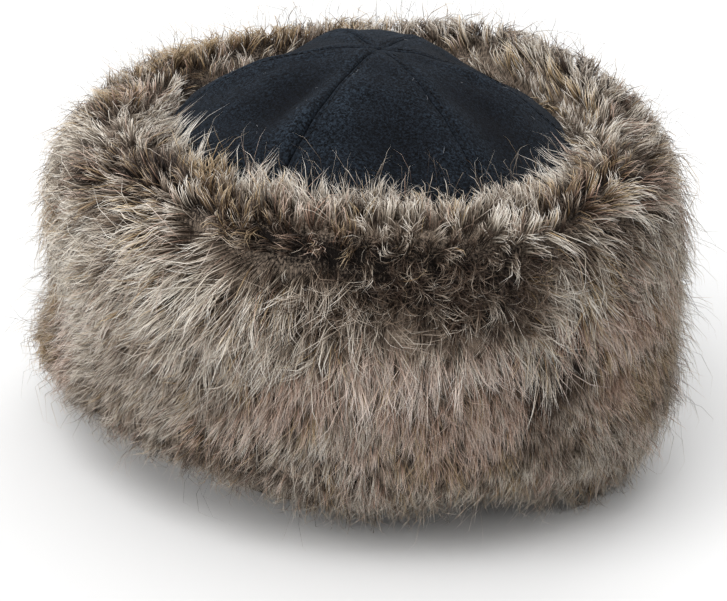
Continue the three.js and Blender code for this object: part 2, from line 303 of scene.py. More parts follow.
felt_colour = add_node(
    felt,
    "ShaderNodeMix",
    {7: linear(0x191D23)},
    {0: worn_share.outputs["Result"], 6: heather_colour.outputs["Color"]},
    data_type="RGBA",
)
# Wear and painted shade: the felt's colour is multiplied darker the lower it lies in the hollows and
# ditches, and paler the higher it stands on a fold.
raised = add_node(felt, "ShaderNodeAttribute", attribute_name="raised")
wear_and_painted_shade = add_node(
    felt,
    "ShaderNodeMapRange",
    {"From Min": DARKEST_HOLLOW, "From Max": PALEST_RIDGE},
    {"Value": raised.outputs["Fac"]},
)
wear_and_shade_colour = add_node(felt, "ShaderNodeValToRGB", links={"Fac": wear_and_painted_shade.outputs["Result"]})
set_stops(wear_and_shade_colour, (0, 0x6C6C76), (1, 0xFFFFFF))
worn_and_shaded_felt = add_node(
    felt,
    "ShaderNodeMix",
    {0: 1.0},
    {6: felt_colour.outputs[2], 7: wear_and_shade_colour.outputs["Color"]},
    data_type="RGBA",
    blend_type="MULTIPLY",
)
felt_bump = add_node(
    felt, "ShaderNodeBump", {"Strength": 0.9, "Distance": 0.5 * MM}, {"Height": nap_grain.outputs["Fac"]}
)
felt_shader = add_node(
    felt,
    "ShaderNodeBsdfPrincipled",
    {"Roughness": 0.95, "Specular IOR Level": 0.1, "Sheen Weight": 0.04, "Sheen Roughness": 0.4},
    {"Base Color": worn_and_shaded_felt.outputs[2], "Normal": felt_bump.outputs["Normal"]},
)
felt_shader.inputs["Sheen Tint"].default_value = linear(0x8E9DB5)
add_node(felt, "ShaderNodeOutputMaterial", links={"Surface": felt_shader.outputs["BSDF"]})

profile_radius, profile_height, profile_along = felt_profile()
for number, (seam, _) in enumerate(SEAMS):
    next_seam = SEAMS[number + 1][0] if number + 1 < len(SEAMS) else SEAMS[0][0] + 360
    sides, wear_and_shade_heights = [], []
    for depth in (0, FELT_THICKNESS):
        radius = np.maximum(profile_radius + profile_along[:, 1] * depth, GORE_POINT_RADIUS / 2)
        inset = np.degrees(np.arcsin(np.minimum(SEAM_GAP / 2 / radius, 0.9)))
        half_width = radius * np.radians(next_seam - seam - 2 * inset) / 2
        azimuth = seam + (inset + np.degrees(gore_columns(half_width) / radius[:, None]).T).T
        radius = radius[:, None]
        height = (profile_height - profile_along[:, 0] * depth)[:, None]
        fold = fold_lift(profile_radius[:, None], azimuth)
        height = height + fold
        relief = seam_relief(profile_radius[:, None], azimuth)
        # Wear and painted shade: how high the felt stands here, kept for its colour.
        wear_and_shade_heights.append((fold + RELIEF_SHADE * relief).ravel())
        uneven = ripple(cylindrical(radius, azimuth, height), FELT_UNEVEN_OVER, FELT_SEED)
        relief = relief + FELT_UNEVENNESS * uneven
        relief = relief * np.clip(height / FELT_WALL_HEIGHT, 0, 1) ** 3
        radius = np.minimum(radius - profile_along[:, 1:] * relief, FELT_WALL_RADIUS)
        points = cylindrical(radius, azimuth, np.maximum(height + profile_along[:, :1] * relief, 0))
        sides.append(points.reshape(-1, 3))
    gore = mesh_object(f"crown_gore_{number + 1}", np.concatenate(sides), shell_faces(*azimuth.shape))
    gore.data.attributes.new("raised", "FLOAT", "POINT")
    gore.data.attributes["raised"].data.foreach_set("value", np.concatenate(wear_and_shade_heights).astype(np.float32))
    gore.data.materials.append(felt)
    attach(gore, "root")
    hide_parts(f"crown_panel_{number + 1}")

# Black sewing thread holds each seam's allowance flat: a row of stitches beside the ditch, each
# 2.5 mm long and sunk at both ends into the felt. The twisted thread shines a little.
STITCH_PITCH = 3.5
STITCH_LENGTH = 2.5
THREAD_WIDTH = 0.5
STITCH_START = 8


def spikes(paths, widths, sides, spin):
    """Points and faces of many tapered solids along paths, each blunt at its start and pointed at
    its end. Paths are solids by steps by 3, widths solids by steps, and spin turns each solid."""
    count, steps = paths.shape[:2]
    along = np.gradient(paths, axis=1)
    along /= np.linalg.norm(along, axis=2, keepdims=True) + 1e-9
    pole = np.where(np.abs(along[:, :1, 2:]) < 0.8, (0.0, 0.0, 1.0), (1.0, 0.0, 0.0))
    side = np.cross(along, np.broadcast_to(pole, along.shape))
    side /= np.linalg.norm(side, axis=2, keepdims=True) + 1e-9
    up = np.cross(along, side)
    angle = spin[:, None] + np.arange(sides) * 2 * math.pi / sides
    angle = angle[:, None, :, None]
    ring = np.cos(angle) * side[:, :-1, None] + np.sin(angle) * up[:, :-1, None]
    rings = paths[:, :-1, None] + ring * widths[:, :-1, None, None] / 2
    points = np.concatenate([rings.reshape(count, -1, 3), paths[:, -1:]], 1)
    size = (steps - 1) * sides + 1
    base = (np.arange(count) * size)[:, None, None]
    corner = np.arange(sides)
    after = np.roll(corner, -1)
    level = (np.arange(steps - 2) * sides)[:, None]
    quads = np.stack([level + corner, level + after, level + sides + after, level + sides + corner], -1)
    top = (steps - 2) * sides
    tips = np.stack([top + corner, top + after, np.full(sides, size - 1)], -1)
    faces = [(base + quads.reshape(1, -1, 4)).reshape(-1, 4), (base + tips[None]).reshape(-1, 3)]
    cap = np.broadcast_to(corner[::-1], (count, sides)) + base[:, 0]
    if sides == 3:
        faces[1] = np.concatenate([faces[1], cap])
    else:
        faces.append(cap)
    return points.reshape(-1, 3), faces


thread = new_material("black_sewing_thread")
thread_place = add_node(thread, "ShaderNodeTexCoord").outputs["Object"]
twist = add_node(
    thread, "ShaderNodeTexNoise", {"Scale": 1 / (0.4 * MM), "Detail": 2}, {"Vector": thread_place}
)
thread_colour = add_node(thread, "ShaderNodeValToRGB", links={"Fac": twist.outputs["Fac"]})
set_stops(thread_colour, (0, 0x020204), (1, 0x0A0B0E))
thread_shader = add_node(
    thread,
    "ShaderNodeBsdfPrincipled",
    {"Roughness": 0.8, "Specular IOR Level": 0.15},
    {"Base Color": thread_colour.outputs["Color"]},
)
add_node(thread, "ShaderNodeOutputMaterial", links={"Surface": thread_shader.outputs["BSDF"]})

travelled = np.concatenate([[0], np.cumsum(np.hypot(np.diff(profile_radius), np.diff(profile_height)))])
seam_end = travelled[DOME_ROWS + EDGE_ROWS - 1]
stitch_starts = np.arange(STITCH_START, seam_end - STITCH_PITCH, STITCH_PITCH)
stitch_steps = np.array([0, 0.15, 0.5, 0.85, 1])
stitch_rise = np.array([-0.25, 0.1, 0.22, 0.1, -0.25])
stitch_width = THREAD_WIDTH * np.array([0.8, 1, 1, 1, 0])
stitch_paths = []
for seam, _ in SEAMS:
    way = stitch_starts[:, None] + STITCH_LENGTH * stitch_steps
    radius = np.interp(way, travelled, profile_radius)
    azimuth = seam + np.degrees(TOPSTITCH_DISTANCE / radius)
    height = np.interp(way, travelled, profile_height) + fold_lift(radius, azimuth)
    slope_radius = np.interp(way, travelled, profile_along[:, 0])
    slope_height = np.interp(way, travelled, profile_along[:, 1])
    lift = stitch_rise + seam_relief(radius, azimuth)
    stitch_paths.append(cylindrical(radius - slope_height * lift, azimuth, height + slope_radius * lift))
stitch_paths = np.concatenate(stitch_paths)
stitch_points, stitch_faces = spikes(
    stitch_paths, np.tile(stitch_width, (len(stitch_paths), 1)), 6, np.zeros(len(stitch_paths))
)
stitches = mesh_object("seam_stitches", stitch_points, stitch_faces)
stitches.data.materials.append(thread)
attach(stitches, "root")

# Loose wool ends stand up from the felt as a fine nap, and a few pale fibres of lint cling to it.
# The ends are drawn 0.1 mm thick, about four times the real ones.
NAP_COUNT = 3000
NAP_LENGTH = 1.5
NAP_WIDTH = 0.1
LINT_COUNT = 46
LINT_LENGTH = 2.2
LINT_WIDTH = 0.12


def felt_fibres(count, length, width, steps, standing, seed):
    """Fibres scattered over the dome, each lying in a random direction and lifting off the felt."""
    rng = np.random.default_rng(seed)
    radius = (CROWN_EDGE_RADIUS + 3) * np.sqrt(rng.uniform(0.001, 1, count))
    azimuth = rng.uniform(0, 360, count)
    start = cylindrical(radius, azimuth, 0)
    heading = rng.uniform(0, 2 * math.pi, count)
    bend = rng.normal(0, 0.5, count)
    share = np.linspace(0, 1, steps)
    angle = heading[:, None] + bend[:, None] * share
    size = length * rng.uniform(0.5, 1.3, count)[:, None]
    way = np.stack([np.cos(angle), np.sin(angle)], -1) * (size * share)[..., None]
    flat = start[:, None, :2] + way
    radius = np.hypot(flat[..., 0], flat[..., 1])
    azimuth = np.degrees(np.arctan2(flat[..., 0], -flat[..., 1]))
    ground = felt_height(radius, azimuth) + seam_relief(radius, azimuth)
    lift = size * share * rng.uniform(0.1, standing, count)[:, None]
    paths = np.concatenate([flat, (ground + lift)[..., None]], -1)
    widths = width * rng.uniform(0.7, 1.3, count)[:, None] * (1 - 0.4 * share)
    return spikes(paths, widths, 3, rng.uniform(0, 6, count))


nap_points, nap_faces = felt_fibres(NAP_COUNT, NAP_LENGTH, NAP_WIDTH, 2, 0.8, 11)
nap = mesh_object("crown_nap", nap_points, [part for part in nap_faces if len(part)])
nap.data.materials.append(felt)
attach(nap, "root")

lint_fibre = new_material("pale_cotton_lint")
lint_place = add_node(lint_fibre, "ShaderNodeTexCoord").outputs["Object"]
lint_noise = add_node(lint_fibre, "ShaderNodeTexNoise", {"Scale": 1 / (9 * MM)}, {"Vector": lint_place})
lint_colour = add_node(lint_fibre, "ShaderNodeValToRGB", links={"Fac": lint_noise.outputs["Fac"]})
set_stops(lint_colour, (0, 0x5E6167), (1, 0xAEB2B8))
lint_shader = add_node(
    lint_fibre, "ShaderNodeBsdfPrincipled", {"Roughness": 0.8}, {"Base Color": lint_colour.outputs["Color"]}
)
add_node(lint_fibre, "ShaderNodeOutputMaterial", links={"Surface": lint_shader.outputs["BSDF"]})
lint_points, lint_faces = felt_fibres(LINT_COUNT, LINT_LENGTH, LINT_WIDTH, 5, 0.3, 12)
lint = mesh_object("crown_lint", lint_points, lint_faces)
lint.data.materials.append(lint_fibre)
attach(lint, "root")

# The cuff is a strip of long-pile fur cloth, rolled over and sewn round the crown. Its knitted backing
# and its dense underfur are one soft dark ring, well below the tips of the hair.
BELLY_HEIGHT = 104
WAIST_HEIGHT = 68
SKIRT_HEIGHT = 34
CUFF_SECTIONS = [
    # crest, shoulder, belly, waist, skirt, tuck, hem, every 30 degrees from the front towards +X
    (150, 134, 147, 148, 144, 118, 8),
    (151, 136, 146, 148, 144, 122, 13),
    (153, 138, 145, 148, 150, 136, 0),
    (158, 140, 143, 147, 149, 131, 3),
    (165, 144, 147, 148, 146, 124, 5),
    (167, 143, 148, 148, 144, 122, 5),
    (161, 141, 148, 148, 143, 121, 5),
    (159, 140, 148, 148, 143, 121, 5),
    (159, 141, 148, 147, 146, 122, 6),
    (154, 141, 146, 142, 151, 130, 9),
    (150, 136, 147, 146, 147, 120, 21),
    (149, 134, 148, 148, 144, 114, 15),
]
TIP_RADIUS = 88
TIP_HEIGHT = 149
CREST_RADIUS = 114
CREST_HALF_WIDTH = 13
INSIDE_DROP = 2
SHOULDER_DROP = 14
CUFF_DENTS = [
    # azimuth, height, width, tall, depth
    (38, 46, 14, 60, 7),
    (26, 12, 20, 40, 6),
    (112, 142, 260, 100, 8),
    (-112, 142, 260, 100, 8),
]
TURNS = 360
SHARES = 129
SPAN_STEPS = 24
PELT_COLUMNS = 180
PELT_ROWS = 34
PELT_END = 0.97
PELT_DEPTHS = [
    # share of the way over the pile, depth below its surface
    (0.36, 8),
    (0.5, 5),
]
PELT_UNEVENNESS = 0.2
PELT_UNEVEN_OVER = 14
PELT_SEED = 21
PELT_GAP = 0.4
PELT_FLOOR_GAP = 0.6
PELT_INSIDE_HEIGHTS = (1.0, 40, 80, 116, 132)


def smooth_table(table, azimuth):
    """Rows of a table that goes evenly round the hat, smoothed between them."""
    table = np.array(table, float)
    count = len(table)
    place = azimuth / 360 * count % count
    index = np.floor(place).astype(int)
    share = (place - index)[:, None]
    a, b, c, d = (table[(index + step) % count] for step in (-1, 0, 1, 2))
    curve = 2 * a - 5 * b + 4 * c - d
    return b + 0.5 * share * (c - a + share * (curve + share * (3 * b - 3 * c + d - a)))


def pile_grid():
    """Radius, height, direction and length of the way over the pile, at even azimuths and shares."""
    azimuth = np.arange(TURNS) * 360 / TURNS
    crest, shoulder, belly, waist, skirt, tuck, hem = smooth_table(CUFF_SECTIONS, azimuth).T
    same = np.ones(TURNS)
    radius = [TIP_RADIUS * same, (CREST_RADIUS - CREST_HALF_WIDTH) * same, CREST_RADIUS * same, shoulder]
    radius += [belly, waist, skirt, tuck]
    height = [TIP_HEIGHT * same, crest - INSIDE_DROP, crest, crest - SHOULDER_DROP]
    height += [BELLY_HEIGHT * same, WAIST_HEIGHT * same, SKIRT_HEIGHT * same, hem]
    knots = np.stack([np.stack(radius, 1), np.stack(height, 1)], 2)
    padded = np.concatenate([knots[:, :1], knots, knots[:, -1:]], 1)
    a, b, c, d = (padded[:, step:step + knots.shape[1] - 1, None] for step in range(4))
    t = (np.arange(SPAN_STEPS) / SPAN_STEPS)[:, None]
    start, end = (c - a) / 2, (d - b) / 2
    curve = ((2 * b - 2 * c + start + end) * t + 3 * c - 3 * b - 2 * start - end) * t * t + start * t + b
    curve = np.concatenate([curve.reshape(TURNS, -1, 2), knots[:, -1:]], 1)
    way = np.cumsum(np.linalg.norm(np.diff(curve, axis=1, prepend=curve[:, :1]), axis=2), 1)
    grid = np.zeros((TURNS, SHARES, 5))
    for row in range(TURNS):
        stops = np.linspace(0, way[row, -1], SHARES)
        grid[row, :, 0] = np.interp(stops, way[row], curve[row, :, 0])
        grid[row, :, 1] = np.interp(stops, way[row], curve[row, :, 1])
        grid[row, :, 4] = way[row, -1]
    along = np.gradient(grid[:, :, :2], axis=1)
    grid[:, :, 2:4] = along / np.linalg.norm(along, axis=2, keepdims=True)
    return grid


PILE = pile_grid()


def pile_reading(azimuth, share):
    """The grid's five values at any azimuth and share from 0 to 1."""
    place = azimuth % 360 / 360 * TURNS
    low = np.floor(place).astype(int)
    turn = (place - low)[..., None]
    step = share * (SHARES - 1)
    near = np.minimum(np.floor(step).astype(int), SHARES - 2)
    way = (step - near)[..., None]
    here, there = low % TURNS, (low + 1) % TURNS
    upper = PILE[here, near] * (1 - turn) + PILE[there, near] * turn
    lower_side = PILE[here, near + 1] * (1 - turn) + PILE[there, near + 1] * turn
    return upper * (1 - way) + lower_side * way


def pile_point(azimuth, share, lift):
    """A point at a share of the way over the pile, from the tips on the crown (0) to the hem (1),
    lift above the pile's mean surface. Past either end it goes straight on."""
    inside = np.clip(share, 0, 1)
    reading = pile_reading(azimuth, inside)
    radius, height, out, up, length = np.moveaxis(reading, -1, 0)
    for middle, level, width, tall, depth in CUFF_DENTS:
        across = radius * np.radians(turn_between(azimuth, middle)) / (width / 2)
        lift = lift - depth * bump(np.hypot(across, (height - level) / (tall / 2)))
    past = (share - inside) * length
    return cylindrical(radius - up * lift + out * past, azimuth, height + out * lift + up * past)


# Patches in the fur. The strongly dark tones along the parting and in the pits and grooves beside it are
# painted shade in the colour of the hair and the underfur.
FUR_PATCHES = [
    # azimuth, share, half width in degrees, half height as a share, tone, rose, gold, ruffle
    (-8, 0.245, 17, 0.035, -3.4, 0, 0.1, 0.6),
    (4, 0.17, 14, 0.025, 1.5, 0, 0.2, 0),
    (-21, 0.215, 8, 0.035, -1.8, 0, 0.4, 0.1),
    (-47, 0.175, 10, 0.055, -4.0, 0, 0.4, 0.1),
    (-33, 0.185, 8, 0.04, -2.2, 0, 0.4, 0.1),
    (-54, 0.27, 8, 0.035, -2.0, 0, 0.4, 0.1),
    (-63, 0.22, 7, 0.04, -1.2, 0, 0.2, 0.1),
    (-43, 0.09, 7, 0.04, -0.6, 0, 0.4, 0),
    (-24, 0.12, 14, 0.05, 0.6, 0, 0.3, 0),
    (-6, 0.08, 10, 0.05, 0.5, 0, 0, 0),
    (16, 0.08, 14, 0.05, -1.2, 0, 0, 0),
    (25, 0.20, 7, 0.03, 0.8, 0.2, 0, 0),
    (12, 0.31, 21, 0.075, -2.8, -0.5, -0.5, 1.0),
    (20, 0.41, 9, 0.035, -2.0, -0.3, -0.3, 0.6),
    (-5, 0.44, 3.5, 0.025, -1.8, 0, 0, 0.2),
    (-22, 0.335, 8, 0.035, 1.5, 0, 0, 0),
    (32, 0.38, 6, 0.09, 1.7, 0.2, 0.1, 0),
    (43, 0.32, 7, 0.05, -1.6, 0, 0.3, 0.2),
    (57, 0.125, 9, 0.04, -3.4, 0, 0.6, 0),
    (47, 0.18, 8, 0.035, -2.4, 0, 0.5, 0),
    (69, 0.17, 10, 0.045, -2.2, 0, 0.3, 0.1),
    (57, 0.29, 6, 0.035, -0.9, 0, 0, 0),
    (58, 0.04, 16, 0.045, 1.5, 0.6, 0, 0),
    (79, 0.07, 8, 0.04, 0.8, 0, 0.3, 0),
    (12, 0.465, 19, 0.028, 3.0, 0.7, 0, -0.3),
    (22, 0.62, 42, 0.2, 0, 0.6, 0.1, -0.3),
    (50, 0.40, 16, 0.14, 0, 0.3, 0, 0),
    (46, 0.60, 6, 0.06, -2.0, 0.2, 0.6, 0),
    (60, 0.50, 7, 0.05, -1.9, 0.3, 0.6, 0),
    (62, 0.65, 9, 0.08, -2.2, 0.1, 0.7, 0),
    (50, 0.44, 5, 0.035, -1.2, 0.3, 0.4, 0),
    (54, 0.56, 4, 0.03, 0.8, 0.5, 0, 0),
    (34, 0.55, 7.5, 0.08, -3.2, -0.9, -0.3, 0.3),
    (29, 0.50, 2.5, 0.04, 2.0, -0.9, 0, 0),
    (31, 0.68, 4, 0.06, -2.2, -0.8, 0, 0.2),
    (40, 0.65, 5, 0.04, 0.8, 0.2, 0, 0),
    (-58, 0.05, 18, 0.06, 0.9, 0, 0, 0),
    (-76, 0.28, 11, 0.06, 1.0, 0, 0, 0),
    (-60, 0.47, 16, 0.13, 2.0, 0, 0, -0.3),
    (-52, 0.62, 11, 0.10, 1.5, 0, 0, -0.2),
    (-69, 0.63, 6, 0.06, -2.4, 0, 1.0, 0.1),
    (-72, 0.76, 6, 0.05, -0.8, 0, 1.0, 0.1),
    (-60, 0.70, 4.5, 0.11, 0.9, 1.1, 0, 0),
    (-38, 0.86, 8, 0.045, -2.2, 0, 0.2, 0.2),
    (-35, 0.36, 8, 0.06, 0.6, 0, 0, 0.1),
    (-32, 0.53, 14, 0.10, 0.6, 0, 0, -0.2),
    (-24, 0.60, 6, 0.04, -0.8, 0, 0, 0),
    (-20, 0.74, 9, 0.05, -1.5, 0, 0, 0.1),
    (-1, 0.77, 7, 0.035, -0.9, 0, 0, 0),
    (0, 0.68, 6, 0.03, 0.9, 0.2, 0, 0),
    (-9, 0.56, 6, 0.05, 0.5, 0.5, 0.1, 0),
    (12, 0.70, 8, 0.05, -0.6, 0.1, 0.4, 0),
    (24, 0.72, 7, 0.05, -1.0, 0, 0.5, 0),
    (58, 0.77, 8, 0.05, 0.8, 0.2, 0, 0),
    (27, 0.84, 8, 0.04, -0.6, 0, 0.5, 0),
    (-150, 0.10, 26, 0.08, -1.0, 0, 0.8, 0.1),
    (-122, 0.12, 24, 0.12, -0.2, 0, 0.6, 0.3),
    (-128, 0.24, 16, 0.05, 0.9, 0, 0.3, 0.1),
    (-92, 0.12, 8, 0.08, -0.9, 0.2, 0.4, 0.1),
    (-88, 0.30, 9, 0.05, -0.9, 0, 0.3, 0),
    (-118, 0.02, 8, 0.05, -2.2, 0, 0.4, 0.1),
    (120, 0.03, 34, 0.035, 1.4, 0, 0.7, 0),
    (165, 0.14, 20, 0.06, -0.8, 0, 0.4, 0.1),
    (120, 0.34, 18, 0.06, -1.0, 0, 0.2, 0.3),
    (-110, 0.40, 16, 0.08, -0.9, 0, 0.1, 0.3),
    (-160, 0.55, 20, 0.10, 0.9, 0.4, 0, 0),
    (95, 0.60, 16, 0.10, 0.5, 0, 0.3, 0),
    (125, 0.66, 9, 0.08, -1.0, 0, 0.3, 0),
    (150, 0.75, 14, 0.07, -0.8, 0, 0.3, 0),
    (-105, 0.68, 14, 0.06, 0.9, 0.3, 0, 0),
    (-130, 0.80, 12, 0.05, -0.9, 0, 0.2, 0),
    (175, 0.42, 16, 0.06, -0.9, 0, 0, 0.2),
]


def patch_values(azimuth, share):
    """Tone, rose, gold and ruffle of the fur at a place."""
    total = np.zeros((4,) + azimuth.shape)
    for middle, level, half_width, half_height, *values in FUR_PATCHES:
        far = np.hypot(turn_between(azimuth, middle) / half_width, (share - level) / half_height)
        total += np.array(values)[:, None] * bump(far / 1.5)
    return total


pelt_rows, pelt_tones = [], []
pelt_azimuth = np.arange(PELT_COLUMNS) * 360 / PELT_COLUMNS
for share in np.linspace(0.0, PELT_END, PELT_ROWS):
    row_share = np.full(PELT_COLUMNS, share)
    depth = np.interp(share, *zip(*PELT_DEPTHS))
    row = pile_point(pelt_azimuth, row_share, np.full(PELT_COLUMNS, -depth))
    outward = row * (1, 1, 0) / np.linalg.norm(row[:, :2], axis=1, keepdims=True)
    uneven = PELT_UNEVENNESS * depth * ripple(row, PELT_UNEVEN_OVER, PELT_SEED)
    pelt_rows.append(row + outward * uneven[:, None])
    pelt_tones.append(patch_values(pelt_azimuth, row_share)[0])
pelt_surface = np.array(pelt_rows)
pelt_radius = np.hypot(pelt_surface[..., 0], pelt_surface[..., 1])
inner_radius = FELT_WALL_RADIUS + PELT_GAP
pelt_surface[..., :2] *= (np.maximum(pelt_radius, inner_radius + 1) / pelt_radius)[..., None]
pelt_surface[..., 2] = np.maximum(pelt_surface[..., 2], PELT_FLOOR_GAP)
pelt_inside = [cylindrical(inner_radius, pelt_azimuth, level) for level in PELT_INSIDE_HEIGHTS]
pelt_all = np.concatenate([pelt_surface, np.array(pelt_inside)])
pelt_tones = np.concatenate([np.array(pelt_tones), np.zeros((len(pelt_inside), PELT_COLUMNS))])
count = len(pelt_all)
ring = np.arange(count * PELT_COLUMNS).reshape(count, PELT_COLUMNS)
below, beside = np.roll(ring, -1, 0), np.roll(ring, -1, 1)
pelt_faces = np.stack([ring, below, np.roll(below, -1, 1), beside], -1).reshape(-1, 4)
pelt = mesh_object("cuff_underfur", pelt_all.reshape(-1, 3), [pelt_faces])
pelt.data.attributes.new("tone", "FLOAT", "POINT")
pelt.data.attributes["tone"].data.foreach_set("value", pelt_tones.ravel().astype(np.float32))

# Underfur: short, dense and brown, darker or paler in patches like the hair over it, with the same painted
# shade along the parting and in its pits and grooves. Its fibres are drawn as upright streaks 0.9 mm wide
# and 9 mm long, because the real ones are too fine to show.
underfur = new_material("dense_brown_underfur")
underfur_place = add_node(underfur, "ShaderNodeTexCoord").outputs["Object"]
underfur_grain = add_node(underfur, "ShaderNodeMapping", {"Scale": (1, 1, 0.1)}, {"Vector": underfur_place})
streak = add_node(
    underfur,
    "ShaderNodeTexNoise",
    {"Scale": 1 / (0.9 * MM), "Detail": 4, "Roughness": 0.65},
    {"Vector": underfur_grain.outputs["Vector"]},
)
tone_read = add_node(underfur, "ShaderNodeAttribute", attribute_name="tone").outputs["Fac"]
streak_tone = add_node(
    underfur,
    "ShaderNodeMath",
    {1: 0.07},
    {0: tone_read, 2: streak.outputs["Fac"]},
    operation="MULTIPLY_ADD",
)
underfur_colour = add_node(underfur, "ShaderNodeValToRGB", links={"Fac": streak_tone.outputs[0]})
set_stops(underfur_colour, (0.36, 0x130D09), (0.72, 0x9C8B7B))
underfur_bump = add_node(
    underfur, "ShaderNodeBump", {"Strength": 0.8, "Distance": 1 * MM}, {"Height": streak.outputs["Fac"]}
)
underfur_shader = add_node(
    underfur,
    "ShaderNodeBsdfPrincipled",
    {"Roughness": 0.85, "Specular IOR Level": 0.2},
    {"Base Color": underfur_colour.outputs["Color"], "Normal": underfur_bump.outputs["Normal"]},
)
add_node(underfur, "ShaderNodeOutputMaterial", links={"Surface": underfur_shader.outputs["BSDF"]})
pelt.data.materials.append(underfur)
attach(pelt, "root")
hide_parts("fur_cuff")

# The long hair is combed away from a parting near the top: inwards over the crown, and outwards down
# the cuff. It grows in wisps of a dozen drawn hairs that lean together at their tips. A drawn hair is
# 0.26 to 0.45 mm thick at its middle, a stray one 0.2 mm, and stands for a few real ones of 0.05 mm.
COMBING = [
    # azimuth, how far the hair drifts sideways there in degrees, the parting's share and half width,
    # the share where the roots begin, and the length of the hair that is combed inwards
    (-180, 0, -0.03, 0.06, -0.02, 0.7),
    (-130, -18, -0.03, 0.06, -0.02, 0.7),
    (-105, -24, 0.02, 0.07, 0.00, 0.8),
    (-85, -22, 0.10, 0.08, 0.03, 1.15),
    (-66, -28, 0.16, 0.07, 0.05, 1.05),
    (-47, -28, 0.20, 0.05, 0.07, 0.95),
    (-15, -10, 0.25, 0.04, 0.07, 1.0),
    (5, 2, 0.25, 0.04, 0.07, 0.85),
    (18, 7, 0.25, 0.04, 0.09, 0.7),
    (30, 12, 0.235, 0.04, 0.09, 0.75),
    (45, 18, 0.215, 0.05, 0.07, 0.85),
    (63, 20, 0.17, 0.05, 0.06, 1.0),
    (78, 22, 0.07, 0.06, 0.03, 0.95),
    (95, 28, 0.00, 0.06, 0.00, 0.8),
    (140, 22, -0.03, 0.06, -0.02, 0.7),
    (180, 0, -0.03, 0.06, -0.02, 0.7),
]
HAIR_ZONES = [
    # name, roots from, roots to, wisps, hairs, bends, reach, rise, root depth, wisp size, pull, wave,
    # width, variety, unruly, tone, loose share
    ("inner", -0.03, 0.27, 1020, 11, 2, 22, 8.0, -10, 2.9, 0.60, 1.5, 0.44, 0.80, 0.7, 0, 0.05),
    ("crest", 0.19, 0.38, 1020, 12, 2, 29, 8.0, -10, 3.0, 0.66, 1.8, 0.45, 1.00, 0.8, 0, 0.07),
    ("shoulder", 0.30, 0.50, 1020, 12, 2, 29, 7.0, -9, 3.0, 0.62, 1.4, 0.44, 0.85, 0.7, 0, 0.07),
    ("belly", 0.42, 0.65, 1870, 14, 1, 16, 7.0, -9, 2.2, 0.40, 0.6, 0.26, 0.38, 0.5, 0, 0.11),
    ("skirt", 0.58, 0.83, 1870, 14, 1, 15, 7.0, -9, 2.2, 0.40, 0.6, 0.26, 0.34, 0.5, 0, 0.12),
    ("hem", 0.76, 0.99, 1560, 13, 1, 16, 7.0, -9, 2.2, 0.55, 0.8, 0.28, 0.38, 0.7, 0, 0.14),
    ("flyaway", 0.05, 0.80, 1100, 2, 2, 19, 14, -6, 3.0, 0.10, 1.6, 0.16, 0.60, 1.0, -0.7, 0.50),
    ("tangle", 0.18, 0.50, 7600, 3, 4, 9, 9.5, -10, 1.6, 0.20, 2.0, 0.21, 1.10, 1.0, -0.7, 0.60),
]
HAIR_DYES = [
    # place on the map, and a hair's colour at its root, its middle and its tip
    (0.01, 0x0A0503, 0x1F130C, 0x453326),
    (0.13, 0x120A05, 0x3A291D, 0x96826F),
    (0.25, 0x1A110B, 0x665648, 0xD6CABB),
    (0.37, 0x2B1F16, 0x9A8C7B, 0xF4ECE0),
    (0.49, 0x4A3D30, 0xCDC2B2, 0xFFFBF4),
    (0.51, 0x1E110A, 0x5C4130, 0xBA9F8C),
    (0.62, 0x34221A, 0x9C7D6A, 0xE6CFBF),
    (0.74, 0x4C382B, 0xC6B0A0, 0xFBF1E9),
    (0.76, 0x180E07, 0x4E3A27, 0xA38C6F),
    (0.87, 0x2C1D10, 0x876D4B, 0xD3BE9D),
    (0.99, 0x47341F, 0xB59C76, 0xF2E4CC),
]
HAIR_FAMILIES = [
    # grey, rose and gold: where its dyes start on the map, and how far they go
    (0.01, 0.48),
    (0.51, 0.23),
    (0.76, 0.23),
]
HAIR_RIPPLES = {
    # what varies over the hat: by how much, over what length, and its seed
    "parting": (0.02, 45, 40),
    "drift": (9, 36, 41),
    "wisp drift": (10, 13, 42),
    "climb": (1.5, 12, 43),
    "reach": (0.1, 18, 44),
    "tone": (0.4, 34, 45),
    "wisp tone": (0.7, 11, 46),
    "rose": (0.25, 30, 47),
    "gold": (0.25, 26, 48),
}
HAIR_CHANCE = {
    # how far chance moves a wisp's roots, in degrees and shares, its other values, and its hairs'
    "azimuth": 1.2,
    "share": 0.006,
    "drift": 6,
    "climb": 1.5,
    "reach": 0.08,
    "curl": 22,
    "hair bend": 8,
    "hair drift": 4,
    "hair climb": 1.1,
    "hair root": 1,
    "hair tone": 0.3,
    "hue": 0.22,
}
HAIR_RANGES = {
    # from and to: the bends of a wisp's wave, its size, and what varies from hair to hair
    "bends": (2.5, 5.5),
    "sway": (0.3, 1.4),
    "closing": (0.7, 1.15),
    "length": (0.75, 1.12),
    "stray lift": (1, 9),
    "width": (0.7, 1.3),
}
HAIR_STEPS = {1: [0, 0.42, 1], 2: [0, 0.36, 0.7, 1], 4: [0, 0.2, 0.4, 0.6, 0.8, 1]}
STEP_ROUND = 0.7548776662
STEP_DOWN = 0.5698402910
RUFFLED_AWAY = 0.45
MIXED_AT_PARTING = 0.8
LEAST_OUTWARDS = 0.4
DRIFT_BELOW_LEFT = 1.5
DRIFT_BELOW_RIGHT = 0.8
DRIFT_AT_PARTING = 2.1
PARTING_REACH = 0.22
CLIMB_AT_PARTING = 3
CALMED = 0.6
MESSY_CLIMB = 2
MESSY_DRIFT = 120
MESSY_CURL = 110
MESSY_BEND = 50
MESSY_SHORTER = 0.55
STRAY_TURN = 25
STRAY_LENGTH = 1.2
STRAY_WIDTH = 0.75
RISE_CURVE = 2.6
TAPER = 1.9
GUARD_SHARE = 0.13
MIDDLE_TONE = 0.66
TONE_STEP = 0.2
HUE_LIMIT = 0.45
HAIR_GAP = 0.5
U_WIDTH = 0.004
V_MARGIN = 0.01

